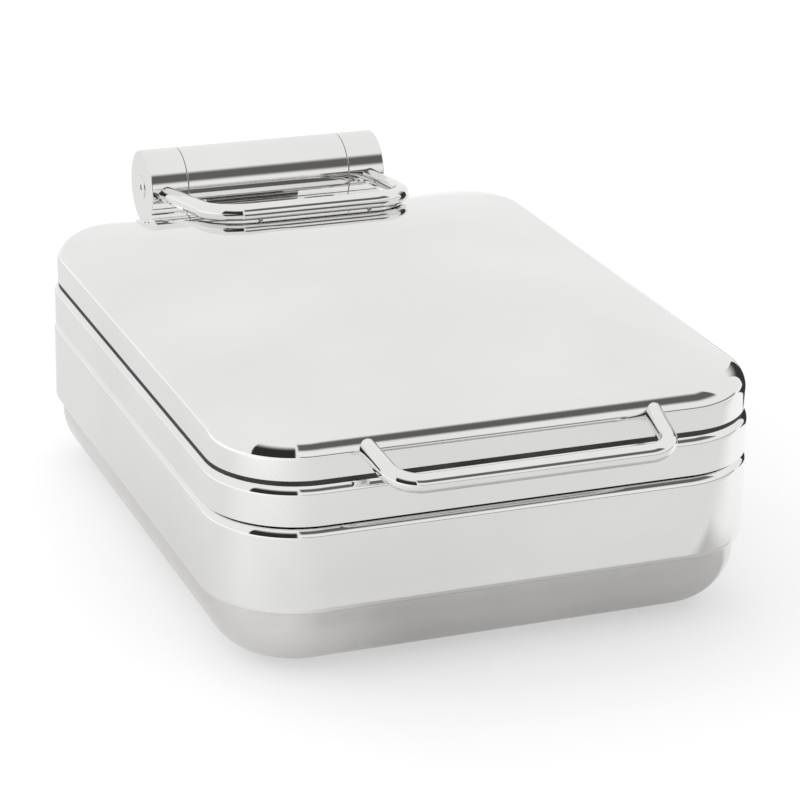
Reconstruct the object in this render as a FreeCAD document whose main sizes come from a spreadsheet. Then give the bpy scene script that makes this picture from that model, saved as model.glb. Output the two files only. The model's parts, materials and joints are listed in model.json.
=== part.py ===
import FreeCAD, Part
import math
import os
import re

import Sketcher

# Electric buffet server: a mirror-polished food warmer with a crowned lid on a
# barrel hinge. The origin is the centre of the flat underside, +Z is up, the
# guest side with the lifting handle faces -Y and the hinge is at +Y.

DIMENSIONS = {
    # body shells
    "wall": 1.5,
    "rim_half_width": 200.0,
    "rim_half_depth": 249.0,
    "corner_radius": 66.0,
    "casing_outset": 0.7,
    "base_inset": 4.9,
    "base_rounding": 38.0,
    "edge_rounding": 5.0,
    "shoulder_rounding": 9.0,
    "rim_rounding": 8.0,
    "base_height": 47.35,
    "base_lip": 8.0,
    "casing_top": 112.0,
    "rim_bottom": 112.3,
    "rim_top": 141.5,
    "gasket_inset": 3.3,
    "gasket_width": 4.7,
    "band_inset": 10.5,
    "band_thickness": 2.0,
    # lid
    "lid_inset": 2.9,
    "lid_corner_radius": 61.0,
    "lid_bottom": 143.8,
    "lid_edge_top": 175.3,
    "lid_edge_rounding": 18.0,
    "lid_crown": 20.0,
    "crown_inset": 140.0,
    # pans
    "food_half_width": 162.5,
    "food_half_depth": 177.0,
    "pan_corner": 20.0,
    "pan_sheet": 1.0,
    "ledge_drop": 6.0,
    "ledge_width": 11.0,
    "water_depth": 85.0,
    "food_depth": 65.0,
    "pan_step": 6.0,
    # hinge
    "axis_depth": 292.0,
    "axis_height": 182.0,
    "barrel_radius": 30.3,
    "hinge_half_length": 99.5,
    "knuckle_length": 30.6,
    "knuckle_gap": 0.4,
    "knuckle_rounding": 1.0,
    "pin_radius": 8.0,
    "running_gap": 0.05,
    "barrel_bore": 25.0,
    "bush_length": 12.0,
    "cap_radius": 9.7,
    "bracket_half_width": 40.0,
    # rods
    "rod_radius": 6.6,
    "bail_half_width": 82.0,
    "bail_root_half_width": 87.5,
    "bail_front": 152.0,
    "bail_rise": 15.4,
    "bail_start_rise": -0.3,
    "bail_corner": 32.0,
    "handle_half_width": 100.5,
    "handle_root_half_width": 104.0,
    "handle_reach": 45.0,
    "handle_droop": 9.0,
    "handle_height": 160.5,
    "handle_corner": 21.0,
    # screws and studs
    "screw_radius": 1.75,
    "screw_hole_radius": 1.8,
    "nut_radius": 5.0,
    "screw_head_radius": 4.0,
    "stud_spread": 45.0,
    "stud_foot": 186.2,
    # controls and feet
    "plate_half_width": 40.0,
    "plate_half_height": 25.0,
    "plate_offset": 88.0,
    "plate_height": 80.0,
    "knob_radius": 17.0,
    "knob_length": 16.0,
    "foot_radius": 12.0,
    "foot_height": 3.0,
    "foot_spread": 125.0,
    "foot_reach": 175.0,
}

doc = FreeCAD.newDocument("buffet_server")
sheet = doc.addObject("Spreadsheet::Sheet", "Sizes")
for row, (alias, value) in enumerate(DIMENSIONS.items(), start=1):
    sheet.set(f"A{row}", str(value))
    sheet.setAlias(f"A{row}", alias)
doc.recompute()

SUBPARTS = []
X_AXIS = FreeCAD.Vector(1, 0, 0)
Y_AXIS = FreeCAD.Vector(0, 1, 0)


def size(alias):
    """A driving dimension as a number."""
    return float(sheet.get(alias))


def ex(text):
    """Turn a formula over dimension names into an expression on the sheet."""
    def qualified(match):
        word = match.group()
        return "Sizes." + word if word in DIMENSIONS else word

    return re.sub(r"[a-z_]{3,}", qualified, str(text))


def bind(thing, prop, formula):
    thing.setExpression(prop, ex(formula))


def place(thing, x=0, y=0, z=0, rotation=None):
    """Place an object, its position bound to formulas over the sheet."""
    if rotation is not None:
        thing.Placement = FreeCAD.Placement(FreeCAD.Vector(0, 0, 0), rotation)
    for axis, formula in zip("xyz", (x, y, z)):
        bind(thing, f"Placement.Base.{axis}", formula)
    return thing


def keep(thing, label):
    """Name a finished sub-part; its label is its file name."""
    thing.Label = label
    SUBPARTS.append(thing)
    return thing


def new_body(name):
    return doc.addObject("PartDesign::Body", name)


def new_sketch(body, name, role="XY_Plane", height=0):
    """A sketch on one of the body's own origin planes, lifted by a formula."""
    sketch = body.newObject("Sketcher::SketchObject", name)
    plane = [f for f in body.Origin.OriginFeatures if f.Role == role][0]
    sketch.AttachmentSupport = [(plane, "")]
    sketch.MapMode = "FlatFace"
    bind(sketch, "AttachmentOffset.Base.z", height)
    return sketch


def dimension(sketch, constraint, name, formula):
    index = sketch.addConstraint(constraint)
    sketch.renameConstraint(index, name)
    bind(sketch, f"Constraints.{name}", formula)


def rounded_rectangle(body, name, half_x, half_y, radius, height=0, role="XY_Plane"):
    """A fully constrained rounded rectangle centred on the sketch origin."""
    sketch = new_sketch(body, name, role, height)
    hx, hy, r = 100.0, 120.0, 20.0
    corners = ((hx - r, hy - r, 0), (r - hx, hy - r, 90), (r - hx, r - hy, 180), (hx - r, r - hy, 270))
    for cx, cy, start in corners:
        circle = Part.Circle(FreeCAD.Vector(cx, cy, 0), FreeCAD.Vector(0, 0, 1), r)
        sketch.addGeometry(Part.ArcOfCircle(circle, math.radians(start), math.radians(start + 90)))
    for a in range(4):
        first = sketch.Geometry[a].EndPoint
        second = sketch.Geometry[(a + 1) % 4].StartPoint
        sketch.addGeometry(Part.LineSegment(first, second))
    for a in range(4):
        sketch.addConstraint(Sketcher.Constraint("Tangent", a, 2, a + 4, 1))
        sketch.addConstraint(Sketcher.Constraint("Tangent", a + 4, 2, (a + 1) % 4, 1))
    for line, kind in ((4, "Horizontal"), (5, "Vertical"), (6, "Horizontal"), (7, "Vertical")):
        sketch.addConstraint(Sketcher.Constraint(kind, line))
    for a in (1, 2, 3):
        sketch.addConstraint(Sketcher.Constraint("Equal", 0, a))
    sketch.addConstraint(Sketcher.Constraint("Symmetric", 0, 3, 2, 3, -1, 1))
    dimension(sketch, Sketcher.Constraint("Radius", 0, r), "corner", radius)
    across = Sketcher.Constraint("DistanceX", 1, 3, 0, 3, 2 * (hx - r))
    along = Sketcher.Constraint("DistanceY", 2, 3, 1, 3, 2 * (hy - r))
    dimension(sketch, across, "span", f"2*({half_x}) - 2*({radius})")
    dimension(sketch, along, "depth", f"2*({half_y}) - 2*({radius})")
    return sketch


def circle_sketch(body, name, radius, x=0, y=0, height=0, role="XY_Plane"):
    """A circle whose centre is given in sketch coordinates."""
    sketch = new_sketch(body, name, role, height)
    sketch.addGeometry(Part.Circle(FreeCAD.Vector(1, 1, 0), FreeCAD.Vector(0, 0, 1), 5))
    dimension(sketch, Sketcher.Constraint("Radius", 0, 5), "radius", radius)
    dimension(sketch, Sketcher.Constraint("DistanceX", -1, 1, 0, 3, 1), "across", x)
    dimension(sketch, Sketcher.Constraint("DistanceY", -1, 1, 0, 3, 1), "along", y)
    return sketch


def polygon_sketch(body, name, points, height=0, role="XY_Plane"):
    """A closed outline whose corners are pairs of formulas."""
    sketch = new_sketch(body, name, role, height)
    values = [tuple(eval_formula(c) for c in p) for p in points]
    for i, (x, y) in enumerate(values):
        nx, ny = values[(i + 1) % len(values)]
        sketch.addGeometry(Part.LineSegment(FreeCAD.Vector(x, y, 0), FreeCAD.Vector(nx, ny, 0)))
    for i in range(len(values)):
        sketch.addConstraint(Sketcher.Constraint("Coincident", i, 2, (i + 1) % len(values), 1))
    for i, (px, py) in enumerate(points):
        dimension(sketch, Sketcher.Constraint("DistanceX", -1, 1, i, 1, values[i][0]), f"x{i}", px)
        dimension(sketch, Sketcher.Constraint("DistanceY", -1, 1, i, 1, values[i][1]), f"y{i}", py)
    return sketch


def eval_formula(formula):
    """The present value of a formula made of dimension names, sums and products."""
    return float(sheet.evalExpression(ex(formula)))


def pad(body, sketch, length, name="Pad", reverse=False):
    feature = body.newObject("PartDesign::Pad", name)
    feature.Profile = sketch
    feature.Reversed = reverse
    bind(feature, "Length", length)
    doc.recompute()
    return feature


def pocket(body, sketch, length, name="Pocket", reverse=False):
    """Cut a pocket and make sure that it removed material."""
    before = body.Shape.Volume
    feature = body.newObject("PartDesign::Pocket", name)
    feature.Profile = sketch
    feature.Reversed = reverse
    bind(feature, "Length", length)
    doc.recompute()
    if body.Shape.Volume >= before:
        raise RuntimeError(f"{body.Name} {name} cut nothing")
    return feature


def edges_at(shape, height):
    """Names of the edges that lie wholly at one height."""
    names = []
    for index, edge in enumerate(shape.Edges, start=1):
        box = edge.BoundBox
        if abs(box.ZMin - height) < 1e-4 and abs(box.ZMax - height) < 1e-4:
            names.append(f"Edge{index}")
    return names


def faces_at(shape, height):
    """Names of the flat faces that lie at one height."""
    names = []
    for index, face in enumerate(shape.Faces, start=1):
        box = face.BoundBox
        if abs(box.ZMin - height) < 1e-4 and abs(box.ZMax - height) < 1e-4:
            names.append(f"Face{index}")
    return names


def fillet(body, height, radius, name="Fillet"):
    base = body.Tip
    feature = body.newObject("PartDesign::Fillet", name)
    feature.Base = (base, edges_at(base.Shape, height))
    bind(feature, "Radius", radius)
    doc.recompute()
    return feature


def shell(body, heights, thickness, name="Shell"):
    """Hollow a body inwards, opening the faces at the given heights."""
    base = body.Tip
    faces = [f for height in heights for f in faces_at(base.Shape, height)]
    feature = body.newObject("PartDesign::Thickness", name)
    feature.Base = (base, faces)
    feature.Reversed = True
    feature.Join = 0
    bind(feature, "Value", thickness)
    doc.recompute()
    return feature


def cylinder(name, radius, length, x=0, y=0, z=0, along="Z"):
    """A cylinder that starts at a point and runs along +X, +Y or +Z."""
    thing = doc.addObject("Part::Cylinder", name)
    bind(thing, "Radius", radius)
    bind(thing, "Height", length)
    turns = {
        "X": FreeCAD.Rotation(Y_AXIS, 90),
        "Y": FreeCAD.Rotation(X_AXIS, -90),
        "Z": FreeCAD.Rotation(),
    }
    return place(thing, x, y, z, turns[along])


def box(name, length, width, height, x=0, y=0, z=0):
    """A box centred on x and y that stands on z."""
    thing = doc.addObject("Part::Box", name)
    bind(thing, "Length", length)
    bind(thing, "Width", width)
    bind(thing, "Height", height)
    return place(thing, f"({x}) - ({length})/2", f"({y}) - ({width})/2", z)


def cut(name, base, *tools):
    """One object less several others."""
    if len(tools) > 1:
        joined = fuse(name + "_tools", *tools)
    else:
        joined = tools[0]
    thing = doc.addObject("Part::Cut", name)
    thing.Base = base
    thing.Tool = joined
    return thing


def fuse(name, *things):
    thing = doc.addObject("Part::MultiFuse", name)
    thing.Shapes = list(things)
    return thing


def group(name, *things):
    """Identical separate solids that share one node."""
    thing = doc.addObject("Part::Compound", name)
    thing.Links = list(things)
    return thing


# ---------------------------------------------------------------- body shells


def make_base_pan():
    """Dished tray that closes the underside; its lip stands inside the casing."""
    body = new_body("BasePan")
    half_x = "rim_half_width - base_inset"
    half_y = "rim_half_depth - base_inset"
    outline = rounded_rectangle(body, "BaseOutline", half_x, half_y, "corner_radius - base_inset")
    pad(body, outline, "base_height + base_lip")
    fillet(body, 0, "base_rounding")
    shell(body, [size("base_height") + size("base_lip")], "wall")
    for x_sign in (-1, 1):
        for y_sign in (-1, 1):
            tag = f"{'L' if x_sign < 0 else 'R'}{'F' if y_sign < 0 else 'B'}"
            hole = circle_sketch(
                body, "FootHole" + tag, 2.2, f"{x_sign}*foot_spread", f"{y_sign}*foot_reach"
            )
            pocket(body, hole, "wall + 1", "FootPocket" + tag, reverse=True)
    keep(body, "base_pan")


def casing_form(name, inset, low, high, upper=None, lower=None):
    """A block with the casing's outline, set in by a distance, its rims rounded if asked."""
    body = new_body(name)
    outline = rounded_rectangle(
        body, name + "Outline", f"rim_half_width + casing_outset - ({inset})",
        f"rim_half_depth + casing_outset - ({inset})", f"corner_radius + casing_outset - ({inset})", low
    )
    pad(body, outline, f"({high}) - ({low})")
    if upper:
        fillet(body, eval_formula(high), upper, "ShoulderRounding")
        fillet(body, eval_formula(low), lower, "SeamRounding")
    return body


def make_casing():
    """Main side wall, a seamless band with rounded upper and lower edges."""
    outer = casing_form(
        "CasingOuter", "0", "base_height", "casing_top", "shoulder_rounding", "edge_rounding"
    )
    inner = casing_form(
        "CasingInner", "wall", "base_height + wall", "casing_top - wall", "shoulder_rounding - wall",
        "edge_rounding - wall"
    )
    upper_mouth = casing_form(
        "UpperMouth", "shoulder_rounding", "casing_top - shoulder_rounding", "casing_top + 1"
    )
    lower_mouth = casing_form(
        "LowerMouth", "edge_rounding", "base_height - 1", "base_height + edge_rounding"
    )
    body = cut("CasingBand", outer, inner, upper_mouth, lower_mouth)
    openings = []
    for name, x in (("PowerWindow", "-plate_offset"), ("ControlWindow", "plate_offset")):
        openings.append(
            box(name, "2*plate_half_width - 10", 12, "2*plate_half_height - 10", x,
                "rim_half_depth", "plate_height - plate_half_height + 5")
        )
    for number, (x, z) in enumerate(bracket_screw_places(), start=1):
        openings.append(
            cylinder(f"BracketHole{number}", "screw_hole_radius", 12, x, "rim_half_depth - 6", z, "Y")
        )
    cut("CasingCut", body, *openings)


def bracket_screw_places():
    """Where the four screws that hold the hinge bracket go through the casing."""
    return [(x, z) for x in ("-30", "30") for z in ("casing_top - 52", "casing_top - 18")]


def make_rim_frame():
    """Top frame with a stepped ledge that carries both pans."""
    body = new_body("RimFrame")
    outline = rounded_rectangle(
        body, "RimOutline", "rim_half_width", "rim_half_depth", "corner_radius", "rim_bottom"
    )
    pad(body, outline, "rim_top - rim_bottom")
    fillet(body, size("rim_top"), "rim_rounding")
    shell(body, [size("rim_bottom")], "wall")
    opening = rounded_rectangle(
        body, "PanOpening", "food_half_width + 4", "food_half_depth + 4", "pan_corner + 4", "rim_top"
    )
    pocket(body, opening, "wall + 1")
    ledge = new_body("PanLedge")
    outer = rounded_rectangle(
        ledge, "LedgeOutline", "food_half_width + 4 + wall", "food_half_depth + 4 + wall",
        "pan_corner + 4 + wall", "rim_top - ledge_drop - wall"
    )
    pad(ledge, outer, "ledge_drop + wall")
    well = rounded_rectangle(
        ledge, "LedgeWell", "food_half_width + 4", "food_half_depth + 4", "pan_corner + 4", "rim_top"
    )
    pocket(ledge, well, "ledge_drop")
    mouth = rounded_rectangle(
        ledge, "LedgeMouth", "food_half_width + 4 - ledge_width", "food_half_depth + 4 - ledge_width",
        "pan_corner", "rim_top"
    )
    pocket(ledge, mouth, "ledge_drop + wall + 1", "MouthPocket")
    keep(fuse("RimFrameJoined", body, ledge), "rim_frame")


def make_inner_frame():
    """Hidden band that ties the casing to the rim frame."""
    body = new_body("InnerFrame")
    inset = "band_inset"
    band = rounded_rectangle(
        body, "BandOutline", f"rim_half_width - ({inset})", f"rim_half_depth - ({inset})",
        f"corner_radius - ({inset})", "casing_top - 12"
    )
    pad(body, band, "rim_top - wall - casing_top + 12")
    hollow = rounded_rectangle(
        body, "BandHollow", f"rim_half_width - ({inset}) - band_thickness",
        f"rim_half_depth - ({inset}) - band_thickness", f"corner_radius - ({inset}) - band_thickness",
        "rim_top - wall"
    )
    pocket(body, hollow, "rim_top - wall - casing_top + 13")
    keep(body, "inner_frame")


def make_gasket():
    """Soft ring moulded to the rim frame's rounded shoulder, under the lid's edge."""
    body = new_body("Gasket")
    outline = rounded_rectangle(
        body, "GasketOutline", "rim_half_width - gasket_inset", "rim_half_depth - gasket_inset",
        "corner_radius - gasket_inset", "rim_top - wall"
    )
    pad(body, outline, "lid_bottom - rim_top + wall - 0.3")
    hollow = rounded_rectangle(
        body, "GasketHollow", "rim_half_width - gasket_inset - gasket_width",
        "rim_half_depth - gasket_inset - gasket_width", "corner_radius - gasket_inset - gasket_width",
        "lid_bottom"
    )
    pocket(body, hollow, "lid_bottom - rim_top + wall + 1")
    keep(cut("GasketFitted", body, doc.getObject("RimFrameJoined")), "lid_gasket")


def make_pan(label, half_x, half_y, corner, top, depth, flange_x, flange_y):
    """Drawn sheet pan: a hollow tub with a rounded floor and a flat flange."""
    title = label.title().replace("_", "")
    tub = new_body(title + "Tub")
    outline = rounded_rectangle(tub, "TubOutline", half_x, half_y, corner, f"{top} - {depth}")
    pad(tub, outline, depth)
    fillet(tub, eval_formula(f"{top} - {depth}"), 10)
    shell(tub, [eval_formula(top)], "pan_sheet")
    flange = new_body(title + "Flange")
    edge = rounded_rectangle(flange, "FlangeOutline", flange_x, flange_y, "pan_corner", f"{top} - pan_sheet")
    pad(flange, edge, "pan_sheet")
    mouth = rounded_rectangle(
        flange, "FlangeMouth", f"{half_x} - pan_sheet", f"{half_y} - pan_sheet", f"{corner} - pan_sheet", top
    )
    pocket(flange, mouth, "pan_sheet + 1")
    keep(fuse(title, tub, flange), label)


def make_pans():
    ledge_top = "(rim_top - ledge_drop)"
    well_x = "(food_half_width + 4 - ledge_width - 0.5)"
    well_y = "(food_half_depth + 4 - ledge_width - 0.5)"
    make_pan(
        "water_pan", well_x, well_y, "(pan_corner - 0.5)", f"({ledge_top} + pan_sheet)", "water_depth",
        "food_half_width + 2.5", "food_half_depth + 2.5"
    )
    make_pan(
        "food_pan", f"({well_x} - pan_step)", f"({well_y} - pan_step)", "(pan_corner - 2)",
        f"({ledge_top} + 2*pan_sheet + 0.05)", "food_depth", "food_half_width", "food_half_depth"
    )


# ------------------------------------------------------------------------ lid


def crown_form(name, inset):
    """Solid of the lid's outer or inner surface: a rounded skirt and a crown.

    The crown is lofted through rounded rectangles. Each one is further in and
    higher than the last along a parabola that ends level on a flat middle.
    """
    body = new_body(name)
    half_x = f"rim_half_width - lid_inset - {inset}"
    half_y = f"rim_half_depth - lid_inset - {inset}"
    top = f"lid_edge_top - {inset}"
    outline = rounded_rectangle(
        body, name + "Outline", half_x, half_y, f"lid_corner_radius - {inset}", "lid_bottom"
    )
    pad(body, outline, f"{top} - lid_bottom")
    fillet(body, eval_formula(top), f"lid_edge_rounding - {inset}")
    loft = body.newObject("PartDesign::AdditiveLoft", name + "Crown")
    sections = []
    for step in range(7):
        along = step / 6
        inner = f"lid_edge_rounding - {inset} + crown_inset*{along}"
        sections.append(
            rounded_rectangle(
                body, f"{name}Ring{step}", f"{half_x} - ({inner})", f"{half_y} - ({inner})",
                f"(lid_corner_radius - lid_edge_rounding)*{1 - 0.55 * along}",
                f"{top} + lid_crown*{1 - (1 - along) ** 2}"
            )
        )
    loft.Profile = sections[0]
    loft.Sections = sections[1:]
    doc.recompute()
    body.Tip = loft
    doc.recompute()
    return body


def make_lid():
    """Pressed lid shell, drilled for the handle and for the hinge rod's studs."""
    outer = crown_form("LidOuter", "0")
    inner = crown_form("LidInner", "wall")
    holes = []
    for side, name in ((-1, "Left"), (1, "Right")):
        holes.append(
            cylinder("HandleHole" + name, "screw_hole_radius", 12, f"{side}*handle_root_half_width",
                     "-rim_half_depth + lid_inset - 6", "handle_height", "Y")
        )
        holes.append(
            cylinder("StudHole" + name, "screw_hole_radius", 30, f"{side}*stud_spread", "bail_front",
                     "lid_edge_top")
        )
    keep(cut("LidShell", outer, inner, *holes), "lid_shell")


def rod(name, root_half_width, half_width, reach, corner):
    """A round bar bent to a U in its own flat plane; its ends lie on the X axis."""
    body = new_body(name)
    path = new_sketch(body, name + "Path")
    root, half = eval_formula(root_half_width), eval_formula(half_width)
    length, r = eval_formula(reach), eval_formula(corner)
    left = Part.LineSegment(FreeCAD.Vector(-root, 0, 0), FreeCAD.Vector(-half, r - length, 0))
    front = Part.LineSegment(FreeCAD.Vector(r - half, -length, 0), FreeCAD.Vector(half - r, -length, 0))
    right = Part.LineSegment(FreeCAD.Vector(half, r - length, 0), FreeCAD.Vector(root, 0, 0))
    up = FreeCAD.Vector(0, 0, 1)
    left_circle = Part.Circle(FreeCAD.Vector(r - half, r - length, 0), up, r)
    right_circle = Part.Circle(FreeCAD.Vector(half - r, r - length, 0), up, r)
    first = Part.ArcOfCircle(left_circle, math.pi, 1.5 * math.pi)
    second = Part.ArcOfCircle(right_circle, 1.5 * math.pi, 2 * math.pi)
    for geometry in (left, first, front, second, right):
        path.addGeometry(geometry)
    joints = ((0, 2, 1, 1), (1, 2, 2, 1), (2, 2, 3, 1), (3, 2, 4, 1))
    for a, a_end, b, b_end in joints:
        path.addConstraint(Sketcher.Constraint("Tangent", a, a_end, b, b_end))
    path.addConstraint(Sketcher.Constraint("Horizontal", 2))
    path.addConstraint(Sketcher.Constraint("Equal", 1, 3))
    path.addConstraint(Sketcher.Constraint("PointOnObject", 0, 1, -1))
    path.addConstraint(Sketcher.Constraint("PointOnObject", 4, 2, -1))
    centre = f"({half_width}) - ({corner})"
    dimension(path, Sketcher.Constraint("Radius", 1, r), "bend", corner)
    dimension(path, Sketcher.Constraint("DistanceX", 0, 1, -1, 1, root), "left_root", root_half_width)
    dimension(path, Sketcher.Constraint("DistanceX", -1, 1, 4, 2, root), "right_root", root_half_width)
    dimension(path, Sketcher.Constraint("DistanceX", 1, 3, -1, 1, half - r), "left_bend", centre)
    dimension(path, Sketcher.Constraint("DistanceX", -1, 1, 3, 3, half - r), "right_bend", centre)
    dimension(path, Sketcher.Constraint("DistanceY", 2, 1, -1, 1, length), "reach", reach)
    section = new_sketch(body, name + "Section", "XZ_Plane")
    section.addGeometry(Part.Circle(FreeCAD.Vector(-root, 0, 0), up, 5))
    dimension(section, Sketcher.Constraint("Radius", 0, 5), "radius", "rod_radius")
    dimension(section, Sketcher.Constraint("DistanceX", 0, 3, -1, 1, root), "across", root_half_width)
    section.addConstraint(Sketcher.Constraint("PointOnObject", 0, 3, -1))
    doc.recompute()
    pipe = body.newObject("PartDesign::AdditivePipe", name + "Pipe")
    pipe.Profile = section
    pipe.Spine = path
    doc.recompute()
    return body


def make_bail():
    """Bent bar that joins the hinge knuckles to the lid, lying along its crown.

    Its ends stop inside the knuckles, short of the pin.
    """
    run = size("axis_depth") - size("barrel_radius") - size("bail_front")
    slope = math.degrees(math.atan2(size("bail_rise"), run))
    start = "(barrel_radius - 12)"
    body = rod("BailBar", "bail_root_half_width", "bail_half_width", f"axis_depth - {start} - bail_front",
               "bail_corner")
    place(body, 0, f"axis_depth - {start}", "axis_height + bail_start_rise",
          FreeCAD.Rotation(X_AXIS, -slope))
    clear = cylinder("BailTrim", "barrel_radius - 10", 200, -100, "axis_depth", "axis_height", "X")
    posts = []
    for side, name in ((-1, "Left"), (1, "Right")):
        posts.append(
            cylinder("StudPost" + name, "screw_radius", 11, f"{side}*stud_spread", "bail_front", "stud_foot")
        )
    keep(cut("Bail", body, clear, *posts), "bail")


def make_handle():
    """Lifting handle that droops slightly; its roots follow the lid's rounded front."""
    slope = math.degrees(math.atan2(size("handle_droop"), size("handle_reach")))
    body = rod("HandleBar", "handle_root_half_width", "handle_half_width", "handle_reach + 4",
               "handle_corner")
    place(body, 0, "-rim_half_depth + lid_inset + 3.9", "handle_height + 0.8",
          FreeCAD.Rotation(X_AXIS, slope))
    sockets = []
    for side, name in ((-1, "Left"), (1, "Right")):
        sockets.append(
            cylinder("HandleSocket" + name, "screw_radius", 18, f"{side}*handle_root_half_width",
                     "-rim_half_depth + lid_inset - 12", "handle_height", "Y")
        )
    keep(cut("Handle", body, doc.getObject("LidOuter"), *sockets), "handle")


# ---------------------------------------------------------------------- hinge


def tube(name, outer, inner, length, x, along="X", y="axis_depth", z="axis_height"):
    """A plain ring of a given length on the hinge axis."""
    body = cylinder(name + "Outer", outer, length, x, y, z, along)
    bore = cylinder(name + "Bore", inner, f"{length} + 2", f"{x} - 1", y, z, along)
    return cut(name, body, bore)


def make_hinge():
    """Fixed centre barrel on the base, two knuckles and a through pin on the lid."""
    barrel_half = "(hinge_half_length - knuckle_length - knuckle_gap)"
    barrel = cylinder("BarrelOuter", "barrel_radius", f"2*{barrel_half}", f"-{barrel_half}",
                      "axis_depth", "axis_height", "X")
    bore = cylinder("BarrelBore", "barrel_bore", f"2*{barrel_half} + 2", f"-{barrel_half} - 1",
                    "axis_depth", "axis_height", "X")
    screw_holes = []
    for number, x in enumerate(("-22", "22"), start=1):
        screw_holes.append(
            cylinder(f"SaddleHole{number}", "screw_hole_radius", 12, x, "axis_depth",
                     "axis_height - barrel_radius - 3")
        )
    keep(cut("Barrel", barrel, bore, *screw_holes), "centre_barrel")
    bush_starts = (("left", f"-{barrel_half}"), ("right", f"{barrel_half} - bush_length"))
    for side, start in bush_starts:
        bush = tube("Bush" + side.title(), "barrel_bore", "pin_radius + running_gap", "bush_length", start)
        keep(bush, f"bush_{side}")
    damper = tube("Damper", "barrel_bore - 1", "pin_radius + running_gap", 64, "-32")
    keep(damper, "hinge_damper")
    pin = cylinder("Pin", "pin_radius", "2*hinge_half_length - 12", "-hinge_half_length + 6",
                   "axis_depth", "axis_height", "X")
    keep(pin, "hinge_pin")
    for side, sign in (("left", -1), ("right", 1)):
        make_knuckle(side, sign)


def make_knuckle(side, sign):
    """End knuckle with its pin bore, a cap recess and the socket for the bar."""
    title = side.title()
    body = new_body("Knuckle" + title)
    start = "hinge_half_length - knuckle_length"
    disc = circle_sketch(body, "Disc" + title, "barrel_radius", 0, 0, start)
    pad(body, disc, "knuckle_length")
    outer_end = size("hinge_half_length")
    base = body.Tip
    rounding = body.newObject("PartDesign::Fillet", "EdgeRounding" + title)
    rounding.Base = (base, edges_at(base.Shape, outer_end))
    bind(rounding, "Radius", "knuckle_rounding")
    doc.recompute()
    place(body, 0, "axis_depth", "axis_height", FreeCAD.Rotation(Y_AXIS, 90 * sign))
    bore = cylinder("KnuckleBore" + title, "pin_radius", "knuckle_length + 2",
                    start + " - 1" if sign > 0 else "-hinge_half_length - 1",
                    "axis_depth", "axis_height", "X")
    recess_start = "hinge_half_length - 6" if sign > 0 else "-hinge_half_length - 2"
    recess = cylinder("CapRecess" + title, "cap_radius", 8, recess_start, "axis_depth", "axis_height", "X")
    socket = doc.addObject("Part::Cut", "Socket" + title)
    socket.Base = body
    socket.Tool = fuse("KnuckleTools" + title, bore, recess)
    holed = doc.addObject("Part::Cut", "Knuckle" + title + "Cut")
    holed.Base = socket
    holed.Tool = doc.getObject("Bail")
    keep(holed, f"knuckle_{side}")
    cap_start = "hinge_half_length - 6" if sign > 0 else "-hinge_half_length - 0.8"
    cap = cylinder("CapDisc" + title, "cap_radius", 6.8, cap_start, "axis_depth", "axis_height", "X")
    key_start = "hinge_half_length - 3" if sign > 0 else "-hinge_half_length - 1.8"
    key = cylinder("CapKey" + title, 2.5, 5, key_start, "axis_depth", "axis_height", "X")
    keep(cut("Cap" + title, cap, key), f"pin_cap_{side}")


def make_bracket():
    """Rear bracket from the casing wall up to the saddle under the barrel."""
    body = new_body("Bracket")
    wall_face = "(rim_half_depth + casing_outset)"
    outline = (
        (f"{wall_face}", "casing_top - 60"),
        (f"{wall_face} + 6", "casing_top - 60"),
        (f"{wall_face} + 6", "casing_top - 6"),
        ("axis_depth + 14", "axis_height - barrel_radius - 10"),
        ("axis_depth + 22", "axis_height - 12"),
        ("axis_depth - 22", "axis_height - 12"),
        ("axis_depth - 24", "axis_height - barrel_radius - 2"),
        (f"{wall_face}", "casing_top + 14"),
    )
    profile = polygon_sketch(body, "BracketProfile", outline, "-bracket_half_width", "YZ_Plane")
    pad(body, profile, "2*bracket_half_width")
    saddle = cylinder("Saddle", "barrel_radius", "2*bracket_half_width + 4", "-bracket_half_width - 2",
                      "axis_depth", "axis_height", "X")
    holes = []
    for number, (x, z) in enumerate(bracket_screw_places(), start=1):
        holes.append(cylinder(f"BracketBore{number}", 2.5, 12, x, "rim_half_depth - 4", z, "Y"))
    screws = []
    for number, (x, z) in enumerate(bracket_screw_places(), start=1):
        shank = cylinder(f"BracketShank{number}", "screw_radius", "casing_outset + 9.5", x,
                         "rim_half_depth - 3.5", z, "Y")
        head = cylinder(f"BracketHead{number}", 4.2, 2.6, x, "rim_half_depth - wall + casing_outset - 2.6",
                        z, "Y")
        screws.append(fuse(f"BracketScrew{number}", shank, head))
    saddle_screws = []
    for number, x in enumerate(("-22", "22"), start=1):
        start = "axis_height - barrel_radius - 7"
        holes.append(cylinder(f"SaddleBore{number}", 2.5, 16, x, "axis_depth", start))
        saddle_screws.append(
            cylinder(f"SaddleShank{number}", "screw_radius", "barrel_radius - barrel_bore + 7", x,
                     "axis_depth", start)
        )
    keep(cut("BracketCut", body, saddle, *holes), "hinge_bracket")
    keep(group("BracketScrews", *screws), "bracket_screws")
    keep(group("SaddleScrews", *saddle_screws), "saddle_screws")


# ------------------------------------------------------------- lid fasteners


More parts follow.
